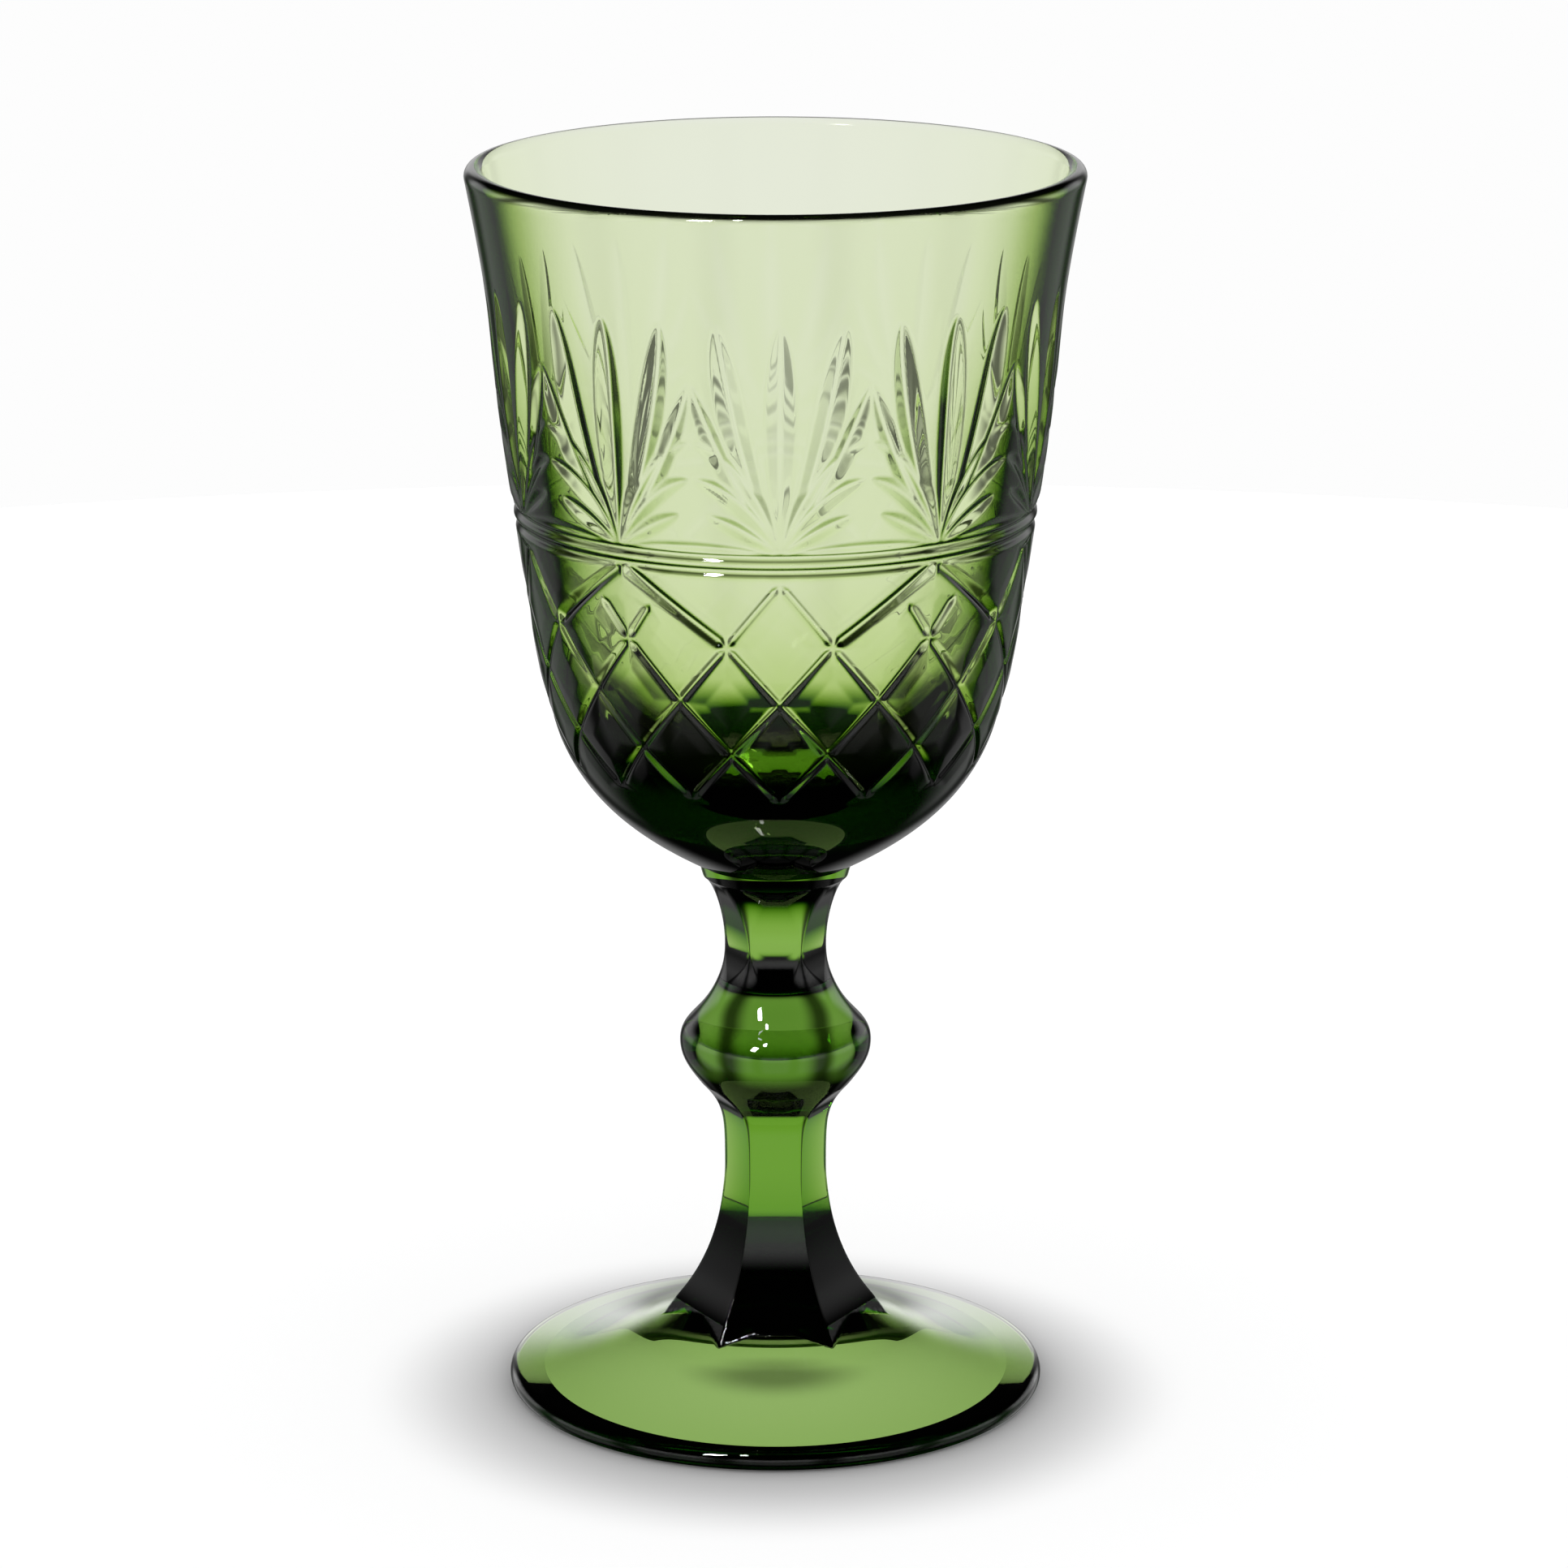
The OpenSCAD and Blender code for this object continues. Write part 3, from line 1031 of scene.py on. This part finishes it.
@dataclass
class Foot(Piece):
    """The round foot, whose top carries the stem's flats out a little way.

    Attributes:
        edge: Thickness of its round edge.
        flare_d: Diameter at the corners of the flare that stands on it.
        rise_d: Diameter where its round top begins to rise towards the stem.
        top_slope: Lean of its round top at the edge.
        tuck: How far inside the flats the round top starts.
        skirt_short: How far short of that place the stem's corners run out.
        skirt_lift: How far above the round top they do.
        ring_width: Width of the flat ring that it stands on, with the turn of the edge.
        hollow: Height of the hollow under it.
    """

    width: float = 75.8
    edge: float = 2.9
    flare_d: float = 28.5
    rise_d: float = 38.0
    rise_height: float = 8.1
    top_slope: float = -79.0
    tuck: float = 0.3
    skirt_short: float = 2.2
    skirt_lift: float = 0.35
    ring_width: float = 4.0
    hollow: float = 9.3
    columns: int = 360
    hollow_rows: int = 30
    edge_rows: int = 14
    top_rows: int = 80
    facets: Facets = field(default_factory=Facets)

    def build(self, material: Material) -> Object:
        """Builds the foot and returns it."""
        edge_r, slope = self.edge / 2, math.radians(self.top_slope)
        hub = np.array([self.width / 2 - edge_r, edge_r])
        out = hub + edge_r * np.array([math.cos(slope), -math.sin(slope)])
        body = RingBody("foot_glass", self.hollow, self.levels.foot_top - self.seam)
        hollow = Outline([
            Station(0, self.hollow, lean=-90, pull_down=9),
            Station(hub[0] - self.ring_width, 0, lean=-76, pull_up=12),
        ])
        under = hollow.at(np.linspace(0, hollow.length, self.hollow_rows + 1)[1:])
        body.turn(under, self.columns, creases=(self.hollow_rows - 1,))
        body.turn([(hub[0], 0)], self.columns)
        turns = np.linspace(-math.pi / 2, -slope, self.edge_rows + 1)[1:-1]
        body.turn(hub + edge_r * np.column_stack([np.cos(turns), np.sin(turns)]), self.columns)
        body.add(self._top(out))
        return self.dress(body.build((False, True)), "foot", Slot.STEM, material)

    def _top(self, out: np.ndarray) -> Iterable[Ring]:
        """Yields the rings of the top.

        Args:
            out: Radius and height at which the round edge ends and the top begins.
        """
        top, flare_r = self.levels.foot_top, self.flare_d / 2
        flat = self.facets.flat_of(flare_r)
        dish = Outline([
            Station(flat - self.tuck, top, lean=-50, pull_down=3),
            Station(self.rise_d / 2, self.rise_height, lean=-64, pull_up=3, pull_down=6),
            Station(out[0], out[1], self.top_slope, pull_up=6),
        ])
        skirt_end = self.rise_d / 2 - self.skirt_short
        skirt = Outline([
            Station(flare_r, top, lean=-38, pull_down=2),
            Station(skirt_end, self.rise_height + self.skirt_lift, lean=-38, pull_up=2),
        ])
        turns = 2 * math.pi * np.arange(self.columns) / self.columns
        start, half = self.facets.radius(turns, flare_r, flat), self.facets.half
        off = (turns + half) % (2 * half) - half
        to_corner = np.cos(off) / math.cos(half)
        for share in np.linspace(1, 0, self.top_rows + 1):
            radii = out[0] * share + start * (1 - share)
            corners = radii * to_corner
            flared = np.where(corners <= skirt_end, skirt.height_at(corners), 0.0)
            heights = np.maximum(dish.height_at(radii), flared)
            if not share:
                heights[:] = top - self.seam
            yield Ring.turned(radii, heights, crease=not share)


# The studio
# ----------


@dataclass(frozen=True)
class Lamp:
    """A narrow upright lamp, by where it stands, how wide and tall it is and its power."""

    name: str
    azimuth: float
    rise: float
    distance: float
    width: float
    height: float
    power: float


@dataclass
class Studio:
    """Plain white paper, soft light all round, two small lamps and the camera.

    Angles are in degrees, lengths in metres, and those of the camera's lens in mm. Where there are
    two angles, the light changes from the first to the second.

    Attributes:
        white: Brightness of the background.
        lit: Brightness of the white panels, which only the glass shows.
        dark: Brightness of the unlit parts of the room, which only the glass shows.
        panel_pitch: Azimuth from one panel to the next.
        panel_side: Azimuths from a panel's middle where it fades at its sides.
        panel_rise: Angles above the level where it fades at its top.
        panel_drop: Angles below the level where it fades at its bottom.
        gap: Share of its light that is left between two panels.
        mirror_drop: Angles below the level where what the outside mirrors grows dimmer.
        mirror_least: Share of the light that is left of that.
        dome_rise: Angles above the level where the light on the paper changes.
        dome_low: How bright that light is near the level.
        dome_high: How bright it is overhead.
        floor_depth: How far the paper lies below the table's level.
        base_radius: Radius of the patch of it under the foot, which lies a little higher.
        base_glow: Brightness of the painted glow that that patch shows through glass.
        camera_tilt: How far the camera is tilted up from looking straight down.
        lens: Its focal length.
        shift: How far the picture is shifted, as a share of its width.
        target: What the lamps face.
    """

    white: float = 0.982
    lit: float = 0.86
    dark: float = 0.004
    panel_pitch: float = 45.0
    panel_side: tuple[float, float] = (11.5, 21.5)
    panel_rise: tuple[float, float] = (10.0, 22.0)
    panel_drop: tuple[float, float] = (30.0, 46.0)
    gap: float = 0.14
    mirror_drop: tuple[float, float] = (-4.0, 8.0)
    mirror_least: float = 0.35
    dome_rise: tuple[float, float] = (30.0, 50.0)
    dome_low: float = 1.8
    dome_high: float = 0.595
    bounces: int = 6
    clear_bounces: int = 16
    clamp: float = 10.0
    floor_radius: float = 0.6
    floor_depth: float = 0.00004
    base_radius: float = 0.0365
    base_depth: float = 0.00002
    base_glow: float = 0.75
    camera_place: tuple[float, float, float] = (0.0, -0.8186, 0.3092)
    camera_tilt: float = 74.864
    lens: float = 139.67
    sensor: float = 36.0
    nearest: float = 0.01
    shift: float = 0.00543
    target: tuple[float, float, float] = (0.0, 0.0, 0.09)
    lamps: tuple[Lamp, ...] = (
        Lamp("key_lamp", -32, 45, 1.2, 0.12, 0.3, 9.0),
        Lamp("fill_lamp", -20, 60, 1.2, 0.06, 0.12, 2.0),
    )

    DISC_POINTS = 128

    def build(self) -> None:
        """Builds everything round the goblet."""
        self._floor()
        self._world()
        for lamp in self.lamps:
            self._lamp(lamp)
        self._camera()
        scene = bpy.context.scene
        scene.view_settings.view_transform = "Standard"
        for kind in ("max", "transmission", "glossy"):
            setattr(scene.cycles, f"{kind}_bounces", self.bounces)
        scene.cycles.transparent_max_bounces = self.clear_bounces
        scene.cycles.sample_clamp_indirect = self.clamp
        scene.cycles.caustics_refractive = False
        scene.cycles.caustics_reflective = False

    def _floor(self) -> None:
        """Lays the round sheet of paper, and the patch of it that shows through the foot, both with a
        painted shadow round the foot, and the patch with a painted glow.
        """
        sheet = self._disc("floor", self.floor_radius, self.floor_depth)
        sheet.data.materials.append(Paper().material())
        sheet.visible_transmission = False
        sheet.visible_glossy = False
        patch = self._disc("floor_under_foot", self.base_radius, self.base_depth)
        # Painted glow: the patch under the foot glows where it is seen through the glass.
        patch.data.materials.append(Paper("shaded_paper", glow=self.base_glow).material())

    @staticmethod
    def _disc(name: str, radius: float, depth: float) -> Object:
        """Returns a flat round sheet that is no part of the goblet, a hair below the table's level."""
        turn = np.linspace(0, 2 * math.pi, Studio.DISC_POINTS + 1)[:-1]
        mesh = bpy.data.meshes.new(name)
        points = [(radius * math.cos(a), radius * math.sin(a), -depth) for a in turn]
        mesh.from_pydata(points, [], [list(range(len(points)))])
        sheet = in_scene(name, mesh)
        return sheet

    def _world(self) -> None:
        """Makes the room that the glass shows, and the plain light that the paper is in."""
        world = bpy.data.worlds.new("studio")
        bpy.context.scene.world = world
        kit = NodeKit(world)
        way = kit.add("SeparateXYZ", kit.add("TexCoord").outputs["Generated"]).outputs
        ray = kit.add("LightPath").outputs

        def fade(angle: NodeSocket, edges: Sequence[float], *levels: float) -> NodeSocket:
            """Returns a soft step between two angles in degrees."""
            return kit.ramp(angle, [math.radians(edge) for edge in edges], *levels)

        rise = kit.maths("ARCSINE", way["Z"])
        drop = kit.maths("MULTIPLY", rise, -1.0)
        azimuth = kit.maths("ARCTAN2", way["X"], way["Y"])
        off_middle = kit.maths("PINGPONG", azimuth, math.radians(self.panel_pitch / 2))
        upright = kit.maths("MULTIPLY", fade(rise, self.panel_rise), fade(drop, self.panel_drop))
        panels = kit.maths("MULTIPLY", fade(off_middle, self.panel_side, 1.0, self.gap), upright)
        through = kit.maths("SUBTRACT", 1.0, ray["Is Reflection Ray"])
        mirrored = kit.maths("MAXIMUM", fade(drop, self.mirror_drop, 1.0, self.mirror_least), through)
        panels = kit.maths("MULTIPLY", panels, mirrored)
        room = kit.maths("ADD", kit.maths("MULTIPLY", panels, self.lit - self.dark), self.dark)
        in_picture = ray["Is Camera Ray"]
        dome = kit.maths("SUBTRACT", 1.0, in_picture)
        dome = kit.maths("MULTIPLY", dome, fade(rise, self.dome_rise, self.dome_low, self.dome_high))
        plain = kit.maths("ADD", kit.maths("MULTIPLY", in_picture, self.white), dome)
        by_glass = kit.maths("MAXIMUM", ray["Is Glossy Ray"], ray["Is Transmission Ray"])
        off_paper = kit.maths("GREATER_THAN", ray["Diffuse Depth"], 0.5)
        by_glass = kit.maths("MULTIPLY", by_glass, kit.maths("SUBTRACT", 1.0, off_paper))
        mix = kit.add("Mix")
        for name, value in (("Factor", by_glass), ("A", plain), ("B", room)):
            kit.feed(mix.inputs[name], value)
        background = kit.tree.nodes["Background"]
        kit.feed(background.inputs["Strength"], mix.outputs["Result"])
        kit.feed(background.inputs["Color"], (1, 1, 1, 1))

    def _lamp(self, lamp: Lamp) -> None:
        """Hangs one lamp, facing the goblet."""
        light = bpy.data.lights.new(lamp.name, "AREA")
        light.shape = "RECTANGLE"
        light.size, light.size_y = lamp.width, lamp.height
        light.energy = lamp.power
        holder = in_scene(lamp.name, light)
        turn, rise = math.radians(lamp.azimuth), math.radians(lamp.rise)
        out = np.array([math.sin(turn) * math.cos(rise), -math.cos(turn) * math.cos(rise), math.sin(rise)])
        holder.location = np.array(self.target) + lamp.distance * out
        holder.rotation_euler = Euler((math.pi / 2 - rise, 0, turn))
        holder.visible_diffuse = False

    def _camera(self) -> None:
        """Sets up the camera at the photograph's angle."""
        camera = bpy.data.cameras.new("camera")
        camera.lens = self.lens
        camera.sensor_width = self.sensor
        camera.shift_x = self.shift
        camera.clip_start = self.nearest
        holder = in_scene("camera", camera)
        holder.location = self.camera_place
        holder.rotation_euler = Euler((math.radians(self.camera_tilt), 0, 0))
        bpy.context.scene.camera = holder


def main() -> None:
    """Builds the goblet and its studio."""
    logging.basicConfig(level=logging.INFO, format="%(message)s")
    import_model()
    stem = {"tint": (0.523, 0.755, 0.086), "strength": 220.0}
    # Painted shade darkens the glass's colour: at the bowl's sides, bottom and pattern, the upper stem's
    # ends, the knop's sides and the flare.
    bowl_shade = PaintedShade(0.26, 0.64, least=0.0002, thick=((89, 99, 0.8), (138, 164, 0.13)), far_ease=0.62)
    bowl_glass = Glass("green_bowl_glass", (0.612, 0.806, 0.071), 85.0, bowl_shade, far_bend=1.15)
    collar_glass = Glass("green_collar_glass", **stem)
    upper_glass = Glass("green_upper_stem_glass", **stem, shade=PaintedShade(0.42, 0.85, lean_share=1.2))
    knop_glass = Glass("green_knop_glass", (0.6, 0.765, 0.34), 220.0, PaintedShade(0.35, 0.8))
    flare_shade = PaintedShade(0.42, 0.85, thick=((20, 26, 0.9),))
    lower_glass = Glass("green_lower_stem_glass", stem["tint"], 290.0, flare_shade)
    foot_glass = Glass("green_foot_glass", **stem, veil=0.7)
    levels = Levels()
    Bowl(levels).build(bowl_glass.material())
    StemCollar(levels).build(collar_glass.material())
    UpperStem(levels).build(upper_glass.material())
    Knop(levels).build(knop_glass.material())
    LowerStem(levels).build(lower_glass.material())
    Foot(levels).build(foot_glass.material())
    Studio().build()


if __name__ == "__main__":
    main()
